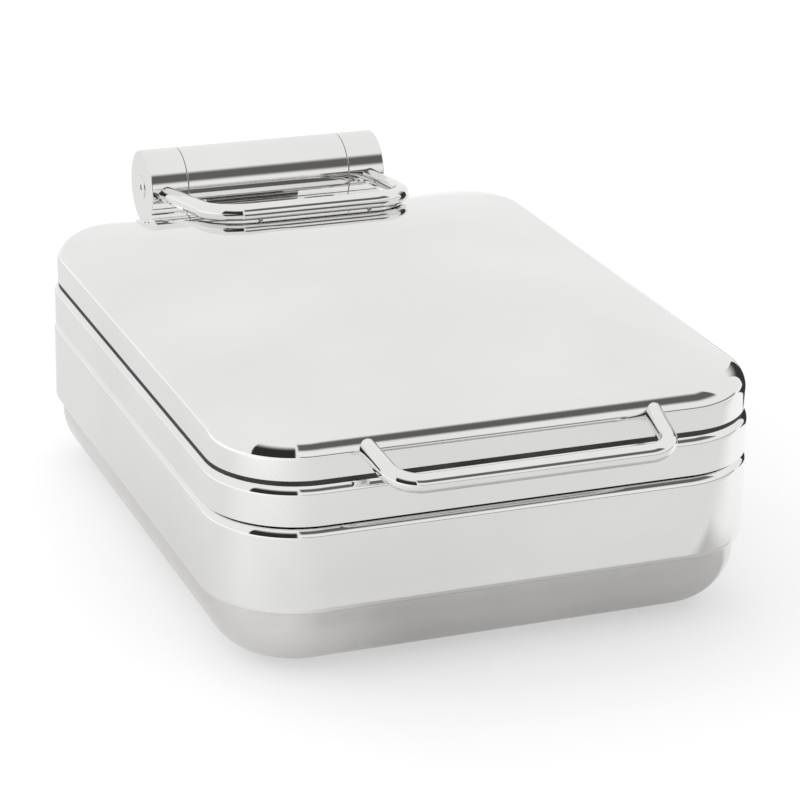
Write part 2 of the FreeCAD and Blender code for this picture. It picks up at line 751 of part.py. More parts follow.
def make_lid_fasteners():
    """Screws that hold the handle and studs that hold the bar, all from inside."""
    screws = []
    studs = []
    for side, name in ((-1, "Left"), (1, "Right")):
        inner_face = "(-rim_half_depth + lid_inset + wall)"
        shank = cylinder("HandleShank" + name, "screw_radius", "10 + wall", f"{side}*handle_root_half_width",
                         f"{inner_face} - wall - 10", "handle_height", "Y")
        head = cylinder("HandleScrewHead" + name, "screw_head_radius", 3, f"{side}*handle_root_half_width",
                        inner_face, "handle_height", "Y")
        screws.append(fuse("HandleScrew" + name, shank, head))
        post = doc.getObject("StudPost" + name)
        nut = cylinder("StudNut" + name, "nut_radius", 3.6, f"{side}*stud_spread", "bail_front",
                       "stud_foot")
        studs.append(fuse("Stud" + name, post, nut))
    lid = doc.getObject("LidShell")
    keep(cut("HandleScrews", group("HandleScrewPair", *screws), lid), "handle_screws")
    keep(cut("BailStuds", group("StudPair", *studs), lid), "bail_studs")


# ------------------------------------------------- heating, controls and feet


def make_heating():
    """Heating plate under the water pan, its tubular element and the insulation."""
    pan_floor = "(rim_top - ledge_drop + pan_sheet - water_depth)"
    body = new_body("HeatPlate")
    outline = rounded_rectangle(body, "HeatPlateOutline", "110", "130", "12", f"{pan_floor} - 4.05")
    pad(body, outline, "4")
    keep(body, "heating_plate")
    element = new_body("Element")
    path = new_sketch(element, "ElementPath")
    # an outer and an inner run joined by a half turn at the front, both ends at the rear
    outer, inner, rear, front, radius = 80.0, 40.0, 90.0, -60.0, 3.2
    bend = (outer - inner) / 2
    up = FreeCAD.Vector(0, 0, 1)
    path.addGeometry(Part.LineSegment(FreeCAD.Vector(inner, rear, 0), FreeCAD.Vector(inner, front, 0)))
    arc_centre = FreeCAD.Vector(inner + bend, front, 0)
    path.addGeometry(Part.ArcOfCircle(Part.Circle(arc_centre, up, bend), math.pi, 2 * math.pi))
    path.addGeometry(Part.LineSegment(FreeCAD.Vector(outer, front, 0), FreeCAD.Vector(outer, rear, 0)))
    section = new_sketch(element, "ElementSection", "XZ_Plane", -rear)
    section.addGeometry(Part.Circle(FreeCAD.Vector(inner, 0, 0), up, radius))
    doc.recompute()
    pipe = element.newObject("PartDesign::AdditivePipe", "ElementPipe")
    pipe.Profile = section
    pipe.Spine = path
    place(element, 0, 0, f"{pan_floor} - 4.1 - {radius}")
    other = doc.addObject("Part::Mirroring", "ElementOther")
    other.Source = element
    other.Normal = (1, 0, 0)
    keep(group("HeatingElements", element, other), "heating_element")
    mat = new_body("Insulation")
    mat_outline = rounded_rectangle(mat, "MatOutline", "125", "165", "12", "wall")
    pad(mat, mat_outline, "14")
    keep(mat, "insulation_mat")
    cutout = cylinder("Cutout", 9, 8, 0, 60, f"{pan_floor} - 12.1")
    keep(cutout, "thermal_cutout")
    block = box("TerminalBlock", 60, 18, 16, 0, 196, "wall")
    keep(block, "terminal_block")


def rear_plate(name, x):
    """A control plate that lies on the rear of the casing."""
    return box(name, "2*plate_half_width", "2", "2*plate_half_height", x,
               "rim_half_depth + casing_outset + 1", "plate_height - plate_half_height")


def plate_screws(name, centre):
    """Four small screws at the corners of a control plate, and their bores."""
    screws = []
    bores = []
    for number, (dx, dz) in enumerate(((-1, -1), (1, -1), (-1, 1), (1, 1)), start=1):
        x = f"{centre} + {dx}*(plate_half_width - 2.7)"
        z = f"plate_height + {dz}*(plate_half_height - 2.7)"
        face = "rim_half_depth + casing_outset"
        bores.append(cylinder(f"{name}Bore{number}", 1.2, 12, x, f"{face} - 6", z, "Y"))
        shank = cylinder(f"{name}Shank{number}", 1.2, 7, x, f"{face} - 5", z, "Y")
        head = cylinder(f"{name}Head{number}", 2.2, 1.2, x, f"{face} + 2", z, "Y")
        screws.append(fuse(f"{name}Screw{number}", shank, head))
    return screws, bores


def make_controls():
    """Rear plates: inlet and switch on one, thermostat and lamp on the other."""
    face = "(rim_half_depth + casing_outset)"
    power_screws, power_bores = plate_screws("Power", "-plate_offset")
    control_screws, control_bores = plate_screws("Control", "plate_offset")
    keep(cut("CasingDrilled", doc.getObject("CasingCut"), *power_bores, *control_bores), "casing")

    inlet_x = "(-plate_offset - 17)"
    inlet_hole = box("InletHole", 28, 8, 20.5, inlet_x, face + " + 1", "plate_height - 10.25")
    inlet_body = box("InletBody", 27.4, 22, 20, inlet_x, face + " - 9", "plate_height - 10")
    inlet_flange = box("InletFlange", 33, 2, 26, inlet_x, face + " + 3", "plate_height - 13")
    inlet_mouth = box("InletMouth", 24, 17, 16, inlet_x, face + " - 3", "plate_height - 8")
    blades = []
    for number, (dx, dz) in enumerate(((-7, 1), (0, -3), (7, 1)), start=1):
        blades.append(
            box(f"Blade{number}", 2, 20, 4, f"{inlet_x} + ({dx})", face + " - 10", f"plate_height + ({dz})")
        )
    keep(cut("Inlet", fuse("InletBlank", inlet_body, inlet_flange), inlet_mouth, *blades), "inlet_socket")
    keep(group("InletBlades", *blades), "inlet_pins")

    switch_x = "(-plate_offset + 20)"
    switch_hole = box("SwitchHole", 13.2, 8, 28.2, switch_x, face + " + 1", "plate_height - 14.1")
    switch_body = box("SwitchBody", 13, 20, 28, switch_x, face + " - 8", "plate_height - 14")
    switch_flange = box("SwitchFlange", 17, 2, 32, switch_x, face + " + 3", "plate_height - 16")
    switch_well = box("SwitchWell", 10, 14, 24, switch_x, face + " - 3", "plate_height - 12")
    keep(cut("SwitchHousing", fuse("SwitchBlank", switch_body, switch_flange), switch_well), "switch_housing")
    rocker_face = (
        (face + " - 3", "plate_height - 10.4"),
        (face + " + 4.5", "plate_height - 10.4"),
        (face + " + 3.2", "plate_height"),
        (face + " + 7.2", "plate_height + 9.4"),
        (face + " - 1", "plate_height + 8.6"),
    )
    rocker = new_body("Rocker")
    profile = polygon_sketch(rocker, "RockerProfile", rocker_face, f"{switch_x} - 4.7", "YZ_Plane")
    pad(rocker, profile, "9.4")
    keep(rocker, "switch_rocker")

    power = rear_plate("PowerBlank", "-plate_offset")
    keep(cut("PowerPlate", power, inlet_hole, switch_hole, *power_bores), "power_plate")

    knob_x = "(plate_offset - 12)"
    lamp_x = "(plate_offset + 24)"
    shaft_hole = cylinder("ShaftHole", 5, 8, knob_x, face + " - 3", "plate_height", "Y")
    lamp_hole = cylinder("LampHole", 4.5, 8, lamp_x, face + " - 3", "plate_height", "Y")
    control = rear_plate("ControlBlank", "plate_offset")
    keep(cut("ControlPlate", control, shaft_hole, lamp_hole, *control_bores), "control_plate")

    thermo = box("ThermostatBox", 36, 22, 32, knob_x, face + " - 14", "plate_height - 16")
    collar = cylinder("ThermostatCollar", 4.8, "5.5", knob_x, face + " - 3", "plate_height", "Y")
    shaft_bore = cylinder("ShaftBore", "3 + running_gap", 20, knob_x, face + " - 15", "plate_height", "Y")
    keep(cut("Thermostat", fuse("ThermostatBlank", thermo, collar), shaft_bore), "thermostat")
    shaft = cylinder("Shaft", 3, "28", knob_x, face + " - 14", "plate_height", "Y")
    keep(shaft, "thermostat_shaft")
    make_knob(knob_x, face)

    bezel = cylinder("LampBezel", 6.5, 1.5, lamp_x, face + " + 2", "plate_height", "Y")
    barrel = cylinder("LampBarrel", 4.4, 20, lamp_x, face + " - 16", "plate_height", "Y")
    seat = cylinder("LampSeat", 3.5, 8, lamp_x, face + " - 2", "plate_height", "Y")
    keep(cut("LampHousing", fuse("LampBlank", bezel, barrel), seat), "lamp_housing")
    lens = doc.addObject("Part::Sphere", "LensBall")
    lens.Radius = 3.5
    place(lens, lamp_x, face + " + 3", "plate_height")
    stem = cylinder("LensStem", 3.5, 5, lamp_x, face + " - 2", "plate_height", "Y")
    keep(fuse("Lens", lens, stem), "lamp_lens")
    keep(group("PlateScrews", *power_screws, *control_screws), "plate_screws")


def make_knob(knob_x, face):
    """Thermostat knob with finger flutes and a pointer groove."""
    skirt = cylinder("KnobSkirt", "knob_radius", 4, knob_x, face + " + 3.2", "plate_height", "Y")
    grip = cylinder("KnobGrip", "knob_radius - 4", "knob_length", knob_x, face + " + 3.2",
                    "plate_height", "Y")
    tools = [cylinder("KnobBore", 3, 12, knob_x, face + " + 2", "plate_height", "Y")]
    flutes = 12
    for number in range(flutes):
        angle = 2 * math.pi * (number + 0.5) / flutes
        across = f"{math.cos(angle):.6f}*(knob_radius - 2.4)"
        upward = f"{math.sin(angle):.6f}*(knob_radius - 2.4)"
        tools.append(
            cylinder(f"KnobFlute{number}", 2.4, "knob_length", f"{knob_x} + {across}", face + " + 7.2",
                     f"plate_height + {upward}", "Y")
        )
    tools.append(
        box("KnobPointer", 1.6, 2, "knob_radius - 3", knob_x, face + " + 3.2 + knob_length",
            "plate_height + 2")
    )
    keep(cut("Knob", fuse("KnobBlank", skirt, grip), *tools), "thermostat_knob")


def make_feet():
    """Four rubber feet and the screws that hold them."""
    feet = []
    screws = []
    for x_sign in (-1, 1):
        for y_sign in (-1, 1):
            tag = f"{'L' if x_sign < 0 else 'R'}{'F' if y_sign < 0 else 'B'}"
            x = f"{x_sign}*foot_spread"
            y = f"{y_sign}*foot_reach"
            pad_disc = cylinder("FootDisc" + tag, "foot_radius", "foot_height", x, y, "-foot_height")
            well = cylinder("FootWell" + tag, 5, 2, x, y, "-foot_height - 0.5")
            bore = cylinder("FootBore" + tag, 2, 6, x, y, "-foot_height")
            feet.append(cut("Foot" + tag, pad_disc, well, bore))
            shank = cylinder("FootShank" + tag, 2, "foot_height + wall - 1.4", x, y, "-foot_height + 1.5")
            head = cylinder("FootHead" + tag, 3.6, 1, x, y, "-foot_height + 0.5")
            nut = cylinder("FootNut" + tag, 3.6, 2.4, x, y, "wall")
            screws.append(fuse("FootScrew" + tag, shank, head, nut))
    keep(group("Feet", *feet), "feet")
    keep(group("FootScrews", *screws), "foot_screws")


make_base_pan()
make_casing()
make_rim_frame()
make_inner_frame()
make_gasket()
make_pans()
make_lid()
make_bail()
make_handle()
make_hinge()
make_bracket()
make_lid_fasteners()
make_heating()
make_controls()
make_feet()
doc.recompute()

for thing in doc.Objects:
    if "Invalid" in thing.State or "Error" in thing.State:
        raise RuntimeError(f"{thing.Name} failed: {thing.State}")
for part in SUBPARTS:
    if part.Shape.isNull() or not part.Shape.isValid():
        raise RuntimeError(f"{part.Label} has no valid shape")

os.makedirs("parts", exist_ok=True)
for part in SUBPARTS:
    part.Shape.exportStep(f"parts/{part.Label}.step")
    print(f"{part.Label}: {len(part.Shape.Solids)} solid(s), {part.Shape.Volume / 1000:.1f} cm3")
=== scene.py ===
import json
import math

import bmesh
import bpy
from mathutils import Matrix, Vector


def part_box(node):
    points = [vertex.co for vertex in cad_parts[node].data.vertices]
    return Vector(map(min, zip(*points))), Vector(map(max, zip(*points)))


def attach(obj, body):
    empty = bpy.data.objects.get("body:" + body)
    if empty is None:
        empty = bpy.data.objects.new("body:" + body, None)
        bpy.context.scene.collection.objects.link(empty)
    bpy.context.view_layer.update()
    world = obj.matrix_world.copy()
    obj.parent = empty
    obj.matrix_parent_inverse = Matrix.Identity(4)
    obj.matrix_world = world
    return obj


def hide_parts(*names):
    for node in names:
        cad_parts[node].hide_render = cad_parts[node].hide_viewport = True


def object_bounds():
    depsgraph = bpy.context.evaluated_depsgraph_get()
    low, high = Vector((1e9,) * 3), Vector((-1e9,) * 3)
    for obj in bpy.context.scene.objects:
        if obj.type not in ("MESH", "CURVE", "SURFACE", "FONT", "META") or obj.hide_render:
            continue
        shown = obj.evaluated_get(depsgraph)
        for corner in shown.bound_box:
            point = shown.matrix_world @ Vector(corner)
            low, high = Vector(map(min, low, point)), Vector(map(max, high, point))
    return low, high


# Electric buffet server. Metres, +Z up, the guest side with the handle at -Y.

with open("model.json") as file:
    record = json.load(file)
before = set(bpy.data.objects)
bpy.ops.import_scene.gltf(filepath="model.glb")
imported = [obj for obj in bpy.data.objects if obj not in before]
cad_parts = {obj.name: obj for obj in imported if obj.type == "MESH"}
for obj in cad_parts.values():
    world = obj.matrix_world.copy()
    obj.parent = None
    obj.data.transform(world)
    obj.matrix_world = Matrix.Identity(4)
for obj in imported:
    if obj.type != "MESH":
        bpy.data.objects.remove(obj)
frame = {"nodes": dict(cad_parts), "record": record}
cad_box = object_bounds()
scene = bpy.context.scene

MM = 0.001
SHEET = 1.5 * MM
SHARP_ANGLE = math.radians(32)

# how finely curved outlines are divided
CORNER_STEPS = 28
RUN_STEPS = 8
ROUND_STEPS = 14
TURN_STEPS = 120
BAR_SIDES = 36
BEND_STEPS = 18


# ------------------------------------------------------------------ materials


def new_material(name):
    """An empty node material: its tree, its shader and its object coordinates."""
    material = bpy.data.materials.new(name)
    material.use_nodes = True
    tree = material.node_tree
    shader = tree.nodes["Principled BSDF"]
    place = tree.nodes.new("ShaderNodeTexCoord").outputs["Object"]
    return material, tree, shader, place


def stretched(tree, place, scale):
    """Coordinates scaled by a different amount along each axis."""
    mapping = tree.nodes.new("ShaderNodeMapping")
    mapping.inputs["Scale"].default_value = scale
    tree.links.new(place, mapping.inputs["Vector"])
    return mapping.outputs["Vector"]


def noise(tree, place, scale, detail=3.0):
    """The grey value of a noise texture."""
    texture = tree.nodes.new("ShaderNodeTexNoise")
    texture.inputs["Scale"].default_value = scale
    texture.inputs["Detail"].default_value = detail
    tree.links.new(place, texture.inputs["Vector"])
    return texture.outputs["Fac"]


def vary_colour(tree, shader, source, dark, light):
    """Base colour that wanders between two close shades."""
    ramp = tree.nodes.new("ShaderNodeValToRGB")
    ramp.color_ramp.elements[0].position = 0.35
    ramp.color_ramp.elements[0].color = (*dark, 1)
    ramp.color_ramp.elements[1].position = 0.65
    ramp.color_ramp.elements[1].color = (*light, 1)
    tree.links.new(source, ramp.inputs["Fac"])
    tree.links.new(ramp.outputs["Color"], shader.inputs["Base Color"])


def vary_roughness(tree, shader, source, low, high):
    """Roughness that follows a noise between two values."""
    span = tree.nodes.new("ShaderNodeMapRange")
    span.inputs["From Min"].default_value = 0.3
    span.inputs["From Max"].default_value = 0.7
    span.inputs["To Min"].default_value = low
    span.inputs["To Max"].default_value = high
    tree.links.new(source, span.inputs["Value"])
    tree.links.new(span.outputs["Result"], shader.inputs["Roughness"])


def bump(tree, shader, source, strength, depth):
    """A grain in the surface's shading, up to a depth in metres."""
    node = tree.nodes.new("ShaderNodeBump")
    node.inputs["Strength"].default_value = strength
    node.inputs["Distance"].default_value = depth
    tree.links.new(source, node.inputs["Height"])
    tree.links.new(node.outputs["Normal"], shader.inputs["Normal"])


def polished_steel():
    """Mirror-polished stainless steel with a faint uneven haze."""
    material, tree, shader, place = new_material("polished_steel")
    shader.inputs["Metallic"].default_value = 1.0
    vary_colour(tree, shader, noise(tree, place, 7), (0.83, 0.825, 0.815), (0.87, 0.868, 0.862))
    vary_roughness(tree, shader, noise(tree, place, 18, 5), 0.015, 0.045)
    return material


def satin_steel():
    """Stainless steel with a fine grain that runs along X."""
    material, tree, shader, place = new_material("satin_steel")
    shader.inputs["Metallic"].default_value = 1.0
    grain = noise(tree, stretched(tree, place, (30, 1400, 1400)), 1, 4)
    vary_colour(tree, shader, noise(tree, place, 9), (0.70, 0.685, 0.67), (0.77, 0.76, 0.75))
    vary_roughness(tree, shader, grain, 0.13, 0.18)
    bump(tree, shader, grain, 0.025, 0.02 * MM)
    return material


def fastener_steel():
    """Plain screw steel, a little rough with fine marks."""
    material, tree, shader, place = new_material("fastener_steel")
    shader.inputs["Metallic"].default_value = 1.0
    marks = noise(tree, place, 900, 2)
    vary_colour(tree, shader, noise(tree, place, 60), (0.52, 0.52, 0.52), (0.66, 0.66, 0.65))
    vary_roughness(tree, shader, marks, 0.2, 0.36)
    bump(tree, shader, marks, 0.15, 0.03 * MM)
    return material


def plain_solid(name, dark, light, rough_low, rough_high, grain_scale, grain_depth):
    """A dull moulded or woven surface with a fine grain."""
    material, tree, shader, place = new_material(name)
    grain = noise(tree, place, grain_scale, 4)
    vary_colour(tree, shader, noise(tree, place, 40), dark, light)
    vary_roughness(tree, shader, grain, rough_low, rough_high)
    bump(tree, shader, grain, 0.4, grain_depth)
    return material


def metal_solid(name, dark, light, rough_low, rough_high, grain_scale, grain_depth):
    """The same grained surface in bare metal."""
    material = plain_solid(name, dark, light, rough_low, rough_high, grain_scale, grain_depth)
    material.node_tree.nodes["Principled BSDF"].inputs["Metallic"].default_value = 1.0
    return material


def mineral_mat():
    """Woven mineral fibre: two crossed sets of threads."""
    material, tree, shader, place = new_material("mineral_mat")
    vary_colour(tree, shader, noise(tree, place, 300), (0.66, 0.63, 0.56), (0.84, 0.81, 0.75))
    threads = []
    for direction in ("X", "Y"):
        wave = tree.nodes.new("ShaderNodeTexWave")
        wave.bands_direction = direction
        wave.inputs["Scale"].default_value = 120
        wave.inputs["Distortion"].default_value = 1.5
        tree.links.new(place, wave.inputs["Vector"])
        threads.append(wave.outputs["Fac"])
    weave = tree.nodes.new("ShaderNodeMath")
    weave.operation = "MULTIPLY"
    tree.links.new(threads[0], weave.inputs[0])
    tree.links.new(threads[1], weave.inputs[1])
    shader.inputs["Roughness"].default_value = 0.92
    bump(tree, shader, weave.outputs["Value"], 0.6, 0.4 * MM)
    return material


def amber_lens():
    """Half-clear amber plastic with a glossy coat."""
    material, tree, shader, place = new_material("amber_lens")
    vary_colour(tree, shader, noise(tree, place, 220), (0.86, 0.36, 0.04), (0.95, 0.48, 0.09))
    vary_roughness(tree, shader, noise(tree, place, 500), 0.06, 0.14)
    shader.inputs["Transmission Weight"].default_value = 0.45
    shader.inputs["Coat Weight"].default_value = 0.5
    return material


MATERIALS = {
    "polished_steel": polished_steel(),
    "satin_steel": satin_steel(),
    "fastener_steel": fastener_steel(),
    "mineral_mat": mineral_mat(),
    "amber_lens": amber_lens(),
    "black_rubber": plain_solid(
        "black_rubber", (0.018, 0.018, 0.018), (0.035, 0.035, 0.034), 0.62, 0.82, 700, 0.05 * MM),
    "black_plastic": plain_solid(
        "black_plastic", (0.022, 0.022, 0.024), (0.04, 0.04, 0.043), 0.42, 0.56, 1400, 0.04 * MM),
    "rocker_plastic": plain_solid(
        "rocker_plastic", (0.025, 0.025, 0.027), (0.04, 0.04, 0.043), 0.16, 0.24, 500, 0.01 * MM),
    "bearing_nylon": plain_solid(
        "bearing_nylon", (0.80, 0.79, 0.74), (0.88, 0.87, 0.83), 0.38, 0.5, 600, 0.02 * MM),
    "phenolic": plain_solid(
        "phenolic", (0.07, 0.06, 0.05), (0.12, 0.11, 0.09), 0.4, 0.58, 800, 0.03 * MM),
    "cast_aluminium": metal_solid(
        "cast_aluminium", (0.50, 0.50, 0.51), (0.64, 0.64, 0.65), 0.42, 0.6, 420, 0.12 * MM),
    "element_sheath": metal_solid(
        "element_sheath", (0.16, 0.15, 0.15), (0.32, 0.30, 0.28), 0.36, 0.55, 260, 0.05 * MM),
    "brass_pins": metal_solid(
        "brass_pins", (0.70, 0.52, 0.22), (0.82, 0.66, 0.34), 0.12, 0.26, 500, 0.02 * MM),
}

NODE_SLOTS = {part["node"]: part["material_slot"] for part in frame["record"]["subparts"]}


def finish_cad_nodes():
    """Give every carried-over CAD node the material of its own slot."""
    for node, thing in frame["nodes"].items():
        material = MATERIALS[NODE_SLOTS[node]]
        if thing.material_slots:
            for holder in thing.material_slots:
                holder.material = material
        else:
            thing.data.materials.append(material)


# ------------------------------------------------------------- making surfaces


def ring(half_x, half_y, radius, z):
    """A level rounded rectangle, anticlockwise; its straight runs are divided too."""
    arcs = []
    for sign_x, sign_y, start in ((1, 1, 0), (-1, 1, 90), (-1, -1, 180), (1, -1, 270)):
        centre_x = sign_x * (half_x - radius)
        centre_y = sign_y * (half_y - radius)
        arc = []
        for step in range(CORNER_STEPS + 1):
            angle = math.radians(start + 90 * step / CORNER_STEPS)
            arc.append((centre_x + radius * math.cos(angle), centre_y + radius * math.sin(angle), z))
        arcs.append(arc)
    points = []
    for number, arc in enumerate(arcs):
        points += arc
        tail = Vector(arc[-1])
        head = Vector(arcs[(number + 1) % 4][0])
        for step in range(1, RUN_STEPS):
            points.append(tuple(tail.lerp(head, step / RUN_STEPS)))
    return points


def rounding(radius, start, end):
    """Steps of a quarter round as (inward, upward) parts of its radius."""
    steps = []
    for step in range(ROUND_STEPS + 1):
        angle = math.radians(start + (end - start) * step / ROUND_STEPS)
        steps.append((radius * (1 - math.cos(angle)), radius * math.sin(angle)))
    return steps


def skin(name, rings, joined):
    """A closed surface through rings whose ends meet, or are shut by flat faces."""
    count = len(rings[0])
    vertices = [point for one in rings for point in one]
    faces = []
    spans = len(rings) if joined else len(rings) - 1
    for row in range(spans):
        here = row * count
        there = (row + 1) % len(rings) * count
        for column in range(count):
            following = (column + 1) % count
            faces.append((here + column, here + following, there + following, there + column))
    if not joined:
        faces.append(tuple(range(count)))
        faces.append(tuple(range(len(vertices) - count, len(vertices))))
    mesh = bpy.data.meshes.new(name)
    mesh.from_pydata(vertices, [], faces)
    work = bmesh.new()
    work.from_mesh(mesh)
    bmesh.ops.recalc_face_normals(work, faces=work.faces)
    work.to_mesh(mesh)
    work.free()
    return add_piece(name, mesh)


def add_piece(name, mesh):
    """Link a mesh as a smooth piece whose flat faces keep flat shading."""
    mesh.shade_smooth()
    mesh.set_sharp_from_angle(angle=SHARP_ANGLE)
    piece = bpy.data.objects.new(name, mesh)
    scene.collection.objects.link(piece)
    weighted = piece.modifiers.new("FlatFaces", "WEIGHTED_NORMAL")
    weighted.keep_sharp = True
    return piece


def stand_for(piece, node, body):
    """The piece takes a CAD node's place, its material slot and its motion."""
    slot = NODE_SLOTS[node]
    piece.data.materials.append(MATERIALS[slot])
    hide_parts(node)
    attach(piece, body)
    return piece


def half_size(node):
    """A node's half width, half depth, lowest and highest level."""
    low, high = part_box(node)
    return (high[0] - low[0]) / 2, (high[1] - low[1]) / 2, low[2], high[2]


# ----------------------------------------------------------------- body shells

RIM_CORNER = 66 * MM
CASING_OUTSET = 0.7 * MM
BASE_INSET = 4.9 * MM
BASE_ROUNDING = 38 * MM
SEAM_ROUNDING = 5 * MM
SHOULDER_ROUNDING = 9 * MM
RIM_ROUNDING = 8 * MM
PAN_PLAY = 4 * MM
LEDGE_DROP = 6 * MM
LEDGE_WIDTH = 11 * MM
WELL_CORNER = 24 * MM
MOUTH_CORNER = 20 * MM


def make_base_pan():
    """Dished tray: straight sides, a large lower rounding and a flat floor."""
    half_x, half_y, low, high = half_size("base_pan")
    corner = RIM_CORNER - BASE_INSET
    rings = []
    for inward, upward in rounding(BASE_ROUNDING, 90, 0):
        z = low + BASE_ROUNDING - upward
        rings.append(ring(half_x - inward, half_y - inward, corner - inward, z))
    rings.append(ring(half_x, half_y, corner, high))
    inner = BASE_ROUNDING - SHEET
    rings.append(ring(half_x - SHEET, half_y - SHEET, corner - SHEET, high))
    for inward, upward in rounding(inner, 0, 90):
        z = low + BASE_ROUNDING - upward
        inset = SHEET + inward
        rings.append(ring(half_x - inset, half_y - inset, corner - inset, z))
    stand_for(skin("base_pan_skin", rings, False), "base_pan", "base")


def make_casing():
    """Side wall whose upper and lower edges roll inwards."""
    half_x, half_y, low, high = half_size("casing")
    corner = RIM_CORNER + CASING_OUTSET
    rings = []

    def outline(inset, z):
        rings.append(ring(half_x - inset, half_y - inset, corner - inset, z))

    for inward, upward in rounding(SEAM_ROUNDING, 90, 0):
        outline(inward, low + SEAM_ROUNDING - upward)
    for inward, upward in rounding(SHOULDER_ROUNDING, 0, 90):
        outline(inward, high - SHOULDER_ROUNDING + upward)
    for inward, upward in rounding(SHOULDER_ROUNDING - SHEET, 90, 0):
        outline(SHEET + inward, high - SHOULDER_ROUNDING + upward)
    for inward, upward in rounding(SEAM_ROUNDING - SHEET, 0, 90):
        outline(SHEET + inward, low + SEAM_ROUNDING - upward)
    piece = skin("casing_skin", rings, True)
    for node in ("power_plate", "control_plate"):
        cut_window(piece, node)
    stand_for(piece, "casing", "base")


WINDOW_EDGE = 5 * MM
WINDOW_DEPTH = 10 * MM


def cut_window(piece, node):
    """Cut the casing's rear window behind a control plate, inside the plate's edge."""
    low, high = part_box(node)
    mesh = bpy.data.meshes.new("window_" + node)
    work = bmesh.new()
    bmesh.ops.create_cube(work, size=1)
    width = high[0] - low[0] - 2 * WINDOW_EDGE
    height = high[2] - low[2] - 2 * WINDOW_EDGE
    size = Vector((width, WINDOW_DEPTH, height))
    bmesh.ops.scale(work, vec=size, verts=work.verts)
    middle = Vector(((low[0] + high[0]) / 2, low[1], (low[2] + high[2]) / 2))
    bmesh.ops.translate(work, vec=middle, verts=work.verts)
    work.to_mesh(mesh)
    work.free()
    cutter = bpy.data.objects.new("window_" + node, mesh)
    scene.collection.objects.link(cutter)
    window = piece.modifiers.new("Window", "BOOLEAN")
    window.operation = "DIFFERENCE"
    window.solver = "EXACT"
    window.object = cutter
    bpy.context.view_layer.update()
    whole_scene = bpy.context.evaluated_depsgraph_get()
    result = bpy.data.meshes.new_from_object(piece.evaluated_get(whole_scene))
    piece.modifiers.remove(window)
    piece.data = result
    bpy.data.objects.remove(cutter)


def make_rim_frame():
    """Top frame: a skirt, a rounded shoulder, a flat top and the pans' ledge."""
    half_x, half_y, low, high = half_size("rim_frame")
    food_x, food_y, _, _ = half_size("food_pan")
    well_x = food_x + PAN_PLAY
    well_y = food_y + PAN_PLAY
    rings = []

    def outline(inset, z):
        rings.append(ring(half_x - inset, half_y - inset, RIM_CORNER - inset, z))

    outline(0, low)
    for inward, upward in rounding(RIM_ROUNDING, 0, 90):
        outline(inward, high - RIM_ROUNDING + upward)
    rings.append(ring(well_x, well_y, WELL_CORNER, high))
    rings.append(ring(well_x, well_y, WELL_CORNER, high - LEDGE_DROP))
    for z in (high - LEDGE_DROP, high - LEDGE_DROP - SHEET):
        rings.append(ring(well_x - LEDGE_WIDTH, well_y - LEDGE_WIDTH, MOUTH_CORNER, z))
    for z in (high - LEDGE_DROP - SHEET, high - SHEET):
        rings.append(ring(well_x + SHEET, well_y + SHEET, WELL_CORNER + SHEET, z))
    for inward, upward in rounding(RIM_ROUNDING - SHEET, 90, 0):
        outline(SHEET + inward, high - RIM_ROUNDING + upward)
    outline(SHEET, low)
    stand_for(skin("rim_frame_skin", rings, True), "rim_frame", "base")


# ------------------------------------------------------------------------- lid

LID_CORNER = 61 * MM
LID_ROUNDING = 18 * MM
CROWN = 20 * MM
CROWN_INSET = 140 * MM
CROWN_RINGS = 26
PLATEAU_CORNER = 38 * MM
HEM = 0.6 * MM


def lid_surface(half_x, half_y, low, high, offset):
    """Rings of one face of the lid, from its lower edge up to the level middle.

    The skirt rounds over until it has the crown's own slope, so that the two
    run on smoothly, and the crown then follows a parabola.
    """
    edge_top = high - CROWN
    run = LID_ROUNDING + CROWN_INSET
    slope = math.atan(2 * CROWN / CROWN_INSET)
    radius = LID_ROUNDING - offset
    rings = [ring(half_x - offset, half_y - offset, LID_CORNER - offset, low)]
    last_inset = offset
    last_z = edge_top - LID_ROUNDING
    for inward, upward in rounding(radius, 0, 90 - math.degrees(slope)):
        last_inset = offset + inward
        last_z = edge_top - LID_ROUNDING + upward
        rings.append(ring(half_x - last_inset, half_y - last_inset, LID_CORNER - last_inset, last_z))
    start_corner = LID_CORNER - last_inset
    for step in range(1, CROWN_RINGS + 1):
        along = step / CROWN_RINGS
        inset = last_inset + (run - last_inset) * along
        rise = (high - offset - last_z) * (1 - (1 - along) ** 2)
        corner = start_corner + (PLATEAU_CORNER - start_corner) * along
        rings.append(ring(half_x - inset, half_y - inset, corner, last_z + rise))
    return rings


def make_lid():
    """Crowned lid, hollow from below, with a small bevelled hem on its lower edge."""
    half_x, half_y, low, high = half_size("lid_shell")
    outer = lid_surface(half_x, half_y, low + HEM, high, 0)
    inner = lid_surface(half_x, half_y, low + HEM, high, SHEET)
    hem = []
    for inset in (HEM / 2, SHEET - HEM / 2):
        hem.append(ring(half_x - inset, half_y - inset, LID_CORNER - inset, low))
    rings = list(reversed(inner)) + list(reversed(hem)) + outer
    stand_for(skin("lid_skin", rings, False), "lid_shell", "lid")


# ------------------------------------------------------------------------ bars

BAR_RADIUS = 6.6 * MM
BAIL_START = 18.3 * MM
BAIL_START_DROP = 0.3 * MM
BAIL_ROOT = 87.5 * MM
BAIL_HALF = 82 * MM
BAIL_CORNER = 32 * MM
HANDLE_ROOT = 104 * MM
HANDLE_HALF = 100.5 * MM
HANDLE_CORNER = 21 * MM
HANDLE_INTO_LID = 1.2 * MM


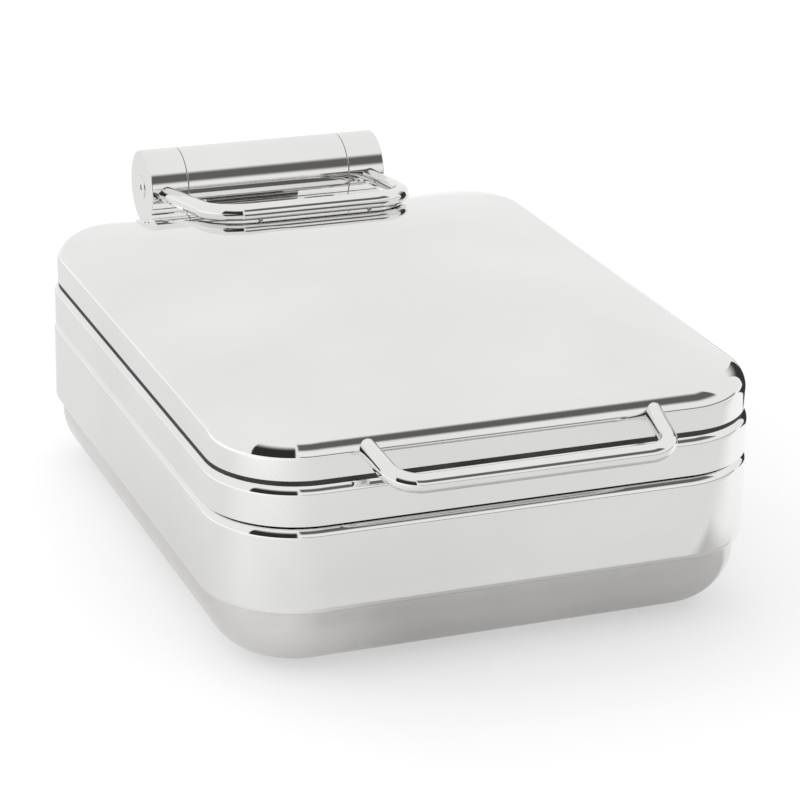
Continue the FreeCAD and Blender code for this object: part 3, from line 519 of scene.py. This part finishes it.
def bent_path(root, half, reach, corner):
    """Centre line of a U as (across, forward) pairs, from one end to the other."""
    centre = Vector((half - corner, reach - corner))
    away = Vector((root, 0)) - centre
    lean = math.atan2(away.y, away.x) + math.acos(corner / away.length)
    right = [(root, 0.0)]
    for step in range(BEND_STEPS + 1):
        angle = lean + (math.pi / 2 - lean) * step / BEND_STEPS
        right.append((centre.x + corner * math.cos(angle), centre.y + corner * math.sin(angle)))
    left = [(-across, forward) for across, forward in reversed(right)]
    return right + left


def make_bar(name, path, origin, slope):
    """A round bar along a flat path that leaves its origin towards -Y and rises by a slope."""
    forward = Vector((0, -math.cos(slope), math.sin(slope)))
    across = Vector((1, 0, 0))
    normal = across.cross(forward)
    points = [Vector(origin) + across * x + forward * s for x, s in path]
    rings = []
    for number, point in enumerate(points):
        before = points[max(number - 1, 0)]
        after = points[min(number + 1, len(points) - 1)]
        tangent = (after - before).normalized()
        side = tangent.cross(normal)
        circle = []
        for step in range(BAR_SIDES):
            angle = 2 * math.pi * step / BAR_SIDES
            circle.append(tuple(point + (side * math.cos(angle) + normal * math.sin(angle)) * BAR_RADIUS))
        rings.append(circle)
    return skin(name, rings, False)


def make_bail(axis_y, axis_z):
    """Bar from the knuckles along the lid's crown."""
    low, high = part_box("bail")
    front = low[1] + BAR_RADIUS
    root_y = axis_y - BAIL_START
    root_z = axis_z - BAIL_START_DROP
    slope = math.atan2(high[2] - BAR_RADIUS - root_z, root_y - front)
    path = bent_path(BAIL_ROOT, BAIL_HALF, (root_y - front) / math.cos(slope), BAIL_CORNER)
    stand_for(make_bar("bail_bar", path, (0, root_y, root_z), slope), "bail", "lid")


def make_handle():
    """Lifting handle that droops from its roots in the lid's skirt."""
    low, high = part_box("handle")
    front = low[1] + BAR_RADIUS
    root_y = high[1] + HANDLE_INTO_LID
    root_z = high[2] - BAR_RADIUS
    slope = math.atan2(low[2] + BAR_RADIUS - root_z, root_y - front)
    path = bent_path(HANDLE_ROOT, HANDLE_HALF, (root_y - front) / math.cos(slope), HANDLE_CORNER)
    stand_for(make_bar("handle_bar", path, (0, root_y, root_z), slope), "handle", "lid")


# ----------------------------------------------------------------------- hinge

PIN_RADIUS = 8 * MM
BARREL_BORE = 25 * MM
CAP_RECESS = 6 * MM
CAP_PLAY = 0.12 * MM
SEAM_SOFTENING = 0.5 * MM
KNUCKLE_ROUNDING = 1 * MM
CAP_ROUNDING = 0.6 * MM
CAP_HOLE = 2.5 * MM
CAP_HOLE_DEPTH = 3 * MM
CAP_CHAMFER = 0.4 * MM
# radius of the small flat face that shuts a turned piece at its axis
AXIS_GAP = 0.4 * MM


def lathe(name, profile, axis_y, axis_z, joined):
    """A (position along X, radius) profile turned about the hinge axis."""
    rings = []
    for x, radius in profile:
        circle = []
        for step in range(TURN_STEPS):
            angle = 2 * math.pi * step / TURN_STEPS
            circle.append((x, axis_y + radius * math.cos(angle), axis_z + radius * math.sin(angle)))
        rings.append(circle)
    return skin(name, rings, joined)


def rounded_end(x, radius, size, sign):
    """Profile steps from a cylinder's side round onto its end face at x."""
    return [(x - sign * (size - rise), radius - inward) for inward, rise in rounding(size, 0, 90)]


def make_hinge(axis_y, axis_z):
    """Barrel centre, and a knuckle with its pin cap at each end of it."""
    low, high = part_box("centre_barrel")
    outer = (high[2] - low[2]) / 2
    barrel = [(low[0], BARREL_BORE)]
    barrel += list(reversed(rounded_end(low[0], outer, SEAM_SOFTENING, -1)))
    barrel += rounded_end(high[0], outer, SEAM_SOFTENING, 1)
    barrel += [(high[0], BARREL_BORE)]
    stand_for(lathe("barrel_tube", barrel, axis_y, axis_z, True), "centre_barrel", "base")
    for side, sign in (("left", -1), ("right", 1)):
        low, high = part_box("knuckle_" + side)
        near, far = (high[0], low[0]) if sign < 0 else (low[0], high[0])
        cap_low, cap_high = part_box("pin_cap_" + side)
        cap = (cap_high[2] - cap_low[2]) / 2
        recess = far - sign * CAP_RECESS
        knuckle = [(near, PIN_RADIUS)]
        knuckle += list(reversed(rounded_end(near, outer, SEAM_SOFTENING, -sign)))
        knuckle += rounded_end(far, outer, KNUCKLE_ROUNDING, sign)
        knuckle += [(far, cap), (recess, cap), (recess, PIN_RADIUS)]
        piece = lathe("knuckle_turned_" + side, knuckle, axis_y, axis_z, True)
        stand_for(piece, "knuckle_" + side, "lid")
        make_cap(side, sign, cap - CAP_PLAY, axis_y, axis_z)


def make_cap(side, sign, radius, axis_y, axis_z):
    """Pin cap with a rounded edge and a small drive hole."""
    low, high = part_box("pin_cap_" + side)
    inner, outer = (high[0], low[0]) if sign < 0 else (low[0], high[0])
    hole_end = outer - sign * CAP_HOLE_DEPTH
    profile = [(inner, AXIS_GAP), (inner, radius)]
    profile += rounded_end(outer, radius, CAP_ROUNDING, sign)
    profile += [(outer, CAP_HOLE + CAP_CHAMFER), (outer - sign * CAP_CHAMFER, CAP_HOLE)]
    profile += [(hole_end, CAP_HOLE), (hole_end, AXIS_GAP)]
    stand_for(lathe("cap_turned_" + side, profile, axis_y, axis_z, False), "pin_cap_" + side, "lid")


# ------------------------------------------------------- floor, light, camera

CAMERA_AZIMUTH = math.radians(-21.48)
CAMERA_ELEVATION = math.radians(21.19)
CAMERA_ROLL = math.radians(1.14)
CAMERA_PLACE = Vector((-0.74945, -1.94098, 0.89947))
CAMERA_LENS = 134.26
FLOOR_REACH = 12.0
FLOOR_GLOW = 0.42
SURROUND_STRENGTH = 0.92
LIGHT_AIM = Vector((0, 0, 0.08))


def make_floor(z):
    """Pale floor that gives out light of its own, which lightens the object's shadow."""
    mesh = bpy.data.meshes.new("floor")
    quarters = ((-1, -1), (1, -1), (1, 1), (-1, 1))
    corners = [(x * FLOOR_REACH, y * FLOOR_REACH, z) for x, y in quarters]
    mesh.from_pydata(corners, [], [(0, 1, 2, 3)])
    floor = bpy.data.objects.new("floor", mesh)
    scene.collection.objects.link(floor)
    material, tree, shader, place = new_material("floor_paper")
    vary_colour(tree, shader, noise(tree, place, 3), (0.54, 0.54, 0.54), (0.56, 0.56, 0.56))
    shader.inputs["Roughness"].default_value = 0.9
    shader.inputs["Specular IOR Level"].default_value = 0.1
    shader.inputs["Emission Color"].default_value = (1, 1, 1, 1)
    shader.inputs["Emission Strength"].default_value = FLOOR_GLOW
    mesh.materials.append(material)


def edge_fade(tree, position, stops):
    """A factor that is 1 between the two stops and eases to 0 at both ends."""
    ramp = tree.nodes.new("ShaderNodeValToRGB")
    colours = ramp.color_ramp
    colours.interpolation = "EASE"
    colours.elements[0].color = (0, 0, 0, 1)
    colours.elements[1].color = (0, 0, 0, 1)
    for stop in stops:
        colours.elements.new(stop).color = (1, 1, 1, 1)
    tree.links.new(position, ramp.inputs["Fac"])
    return ramp.outputs["Color"]


def product(tree, first, second):
    """Two factors multiplied; either may be a plain number."""
    node = tree.nodes.new("ShaderNodeMath")
    node.operation = "MULTIPLY"
    for socket, value in zip(node.inputs, (first, second)):
        if isinstance(value, float):
            socket.default_value = value
        else:
            tree.links.new(value, socket)
    return node.outputs["Value"]


def card_material(name, tone, cover, side_stops, rise_stops):
    """A dark card's surface, which thins out towards all four of its edges."""
    material = bpy.data.materials.new(name)
    material.use_nodes = True
    tree = material.node_tree
    tree.nodes.clear()
    output = tree.nodes.new("ShaderNodeOutputMaterial")
    cloth = tree.nodes.new("ShaderNodeEmission")
    cloth.inputs["Color"].default_value = (tone, tone * 0.97, tone * 0.93, 1)
    clear = tree.nodes.new("ShaderNodeBsdfTransparent")
    blend = tree.nodes.new("ShaderNodeMixShader")
    coordinates = tree.nodes.new("ShaderNodeTexCoord")
    axes = tree.nodes.new("ShaderNodeSeparateXYZ")
    tree.links.new(coordinates.outputs["UV"], axes.inputs["Vector"])
    across = edge_fade(tree, axes.outputs["X"], side_stops)
    upward = edge_fade(tree, axes.outputs["Y"], rise_stops)
    covered = product(tree, product(tree, across, upward), cover)
    tree.links.new(covered, blend.inputs["Fac"])
    tree.links.new(clear.outputs["BSDF"], blend.inputs[1])
    tree.links.new(cloth.outputs["Emission"], blend.inputs[2])
    tree.links.new(blend.outputs["Shader"], output.inputs["Surface"])
    return material


def stage_card(name, mesh, uvs, material):
    """Put a card in the studio so that only reflections show it."""
    layer = mesh.uv_layers.new(name="Card")
    for loop in mesh.loops:
        layer.data[loop.index].uv = uvs[loop.vertex_index]
    mesh.materials.append(material)
    card = bpy.data.objects.new(name, mesh)
    scene.collection.objects.link(card)
    card.visible_camera = False
    card.visible_diffuse = False
    card.visible_shadow = False


FLAG_COLUMNS = 16
FLAG_SIDE_STOPS = (0.05, 0.95)
FLAG_RISE_STOPS = (0.22, 0.6)

# name, grey tone, distance, bearings, elevations; a bearing in degrees starts
# straight out at -Y and grows towards +X
FLAGS = (
    ("flag_camera_side", 0.03, 3.0, (-68, -14.5), (-16, 46)),
    ("flag_front_right", 0.13, 3.0, (-14.5, 62), (20, 56)),
    ("flag_horizon", 0.20, 3.0, (-14.5, 90), (-5, 6)),
    ("flag_rear_right", 0.04, 0.93, (99, 123), (-16, 38)),
)

CARD_GAP = 0.5 * MM

# name, lowest corner, highest corner, cover, grey tone, stops across, stops along;
# the three with a low cover are faint, the rear right one is opaque and dark
FLOOR_CARDS = (
    ("floor_card_front", (-0.75, -2.0), (1.6, -0.22), 0.24, 0.10, (0.3, 0.85), (0.2, 0.9)),
    ("floor_card_left", (-1.1, -0.5), (-0.1, 1.6), 0.25, 0.10, (0.3, 0.85), (0.2, 0.9)),
    # floor_card_near is painted shade: a dark sheet on the floor's shadow just in front of the object,
    # which darkens only the base's reflection of that floor
    ("floor_card_near", (-0.20, -0.365), (0.33, -0.20), 0.40, 0.10, (0.3, 0.85), (0.2, 0.9)),
    ("floor_card_rear_right", (0.44, 0.0), (1.5, 0.64), 1.0, 0.04, (0.03, 0.94), (0.06, 0.94)),
)


def make_flag(name, tone, distance, bearings, elevations):
    """A dark card bent round the object, seen only in reflections."""
    heights = [distance * math.tan(math.radians(e)) for e in elevations]
    vertices = []
    for step in range(FLAG_COLUMNS + 1):
        turn = math.radians(bearings[0] + (bearings[1] - bearings[0]) * step / FLAG_COLUMNS)
        for height in heights:
            vertices.append((distance * math.sin(turn), -distance * math.cos(turn), height))
    faces = [(2 * c, 2 * c + 2, 2 * c + 3, 2 * c + 1) for c in range(FLAG_COLUMNS)]
    mesh = bpy.data.meshes.new(name)
    mesh.from_pydata(vertices, [], faces)
    uvs = [(vertex // 2 / FLAG_COLUMNS, vertex % 2) for vertex in range(len(vertices))]
    material = card_material(name + "_cloth", tone, 1.0, FLAG_SIDE_STOPS, FLAG_RISE_STOPS)
    stage_card(name, mesh, uvs, material)


def make_floor_card(name, low, high, cover, tone, side_stops, rise_stops, z):
    """A card that lies on the floor beside the object, seen only in reflections."""
    corners = [(low[0], low[1], z), (high[0], low[1], z), (high[0], high[1], z), (low[0], high[1], z)]
    mesh = bpy.data.meshes.new(name)
    mesh.from_pydata(corners, [], [(0, 1, 2, 3)])
    material = card_material(name + "_cloth", tone, cover, side_stops, rise_stops)
    stage_card(name, mesh, [(0, 0), (1, 0), (1, 1), (0, 1)], material)


def make_light(name, place, size, energy):
    """A round softbox that faces the middle of the object."""
    data = bpy.data.lights.new(name, "AREA")
    data.shape = "DISK"
    data.size = size
    data.energy = energy
    light = bpy.data.objects.new(name, data)
    light.location = place
    light.rotation_euler = (LIGHT_AIM - Vector(place)).to_track_quat("-Z", "Y").to_euler()
    light.visible_glossy = False
    scene.collection.objects.link(light)


def make_studio(floor_z):
    """Floor, even white surroundings, two softboxes and the reflection cards."""
    make_floor(floor_z)
    for layer, card in enumerate(FLOOR_CARDS, start=1):
        make_floor_card(*card, floor_z + layer * CARD_GAP)
    world = bpy.data.worlds.new("studio")
    world.use_nodes = True
    backdrop = world.node_tree.nodes["Background"]
    backdrop.inputs["Color"].default_value = (1.0, 1.0, 1.0, 1)
    backdrop.inputs["Strength"].default_value = SURROUND_STRENGTH
    scene.world = world
    make_light("overhead", (-0.3, 0.9, 2.5), 3.0, 16)
    make_light("left", (-2.3, 0.3, 1.7), 2.4, 18)
    for flag in FLAGS:
        make_flag(*flag)
    scene.view_settings.view_transform = "Standard"


def make_camera():
    """Camera that looks from the front left, at the photograph's angle."""
    azimuth, elevation, roll = CAMERA_AZIMUTH, CAMERA_ELEVATION, CAMERA_ROLL
    level = Vector((math.cos(azimuth), math.sin(azimuth), 0))
    back = Vector((math.sin(azimuth) * math.cos(elevation),
                   -math.cos(azimuth) * math.cos(elevation), math.sin(elevation)))
    upright = back.cross(level)
    right = level * math.cos(roll) + upright * math.sin(roll)
    up = upright * math.cos(roll) - level * math.sin(roll)
    data = bpy.data.cameras.new("camera")
    data.lens = CAMERA_LENS
    camera = bpy.data.objects.new("camera", data)
    turn = Matrix((right, up, back)).transposed().to_4x4()
    camera.matrix_world = Matrix.Translation(CAMERA_PLACE) @ turn
    scene.collection.objects.link(camera)
    scene.camera = camera


barrel_low, barrel_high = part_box("centre_barrel")
hinge_y = (barrel_low[1] + barrel_high[1]) / 2
hinge_z = (barrel_low[2] + barrel_high[2]) / 2

finish_cad_nodes()
make_base_pan()
make_casing()
make_rim_frame()
make_lid()
make_bail(hinge_y, hinge_z)
make_handle()
make_hinge(hinge_y, hinge_z)
make_studio(cad_box[0][2])
make_camera()
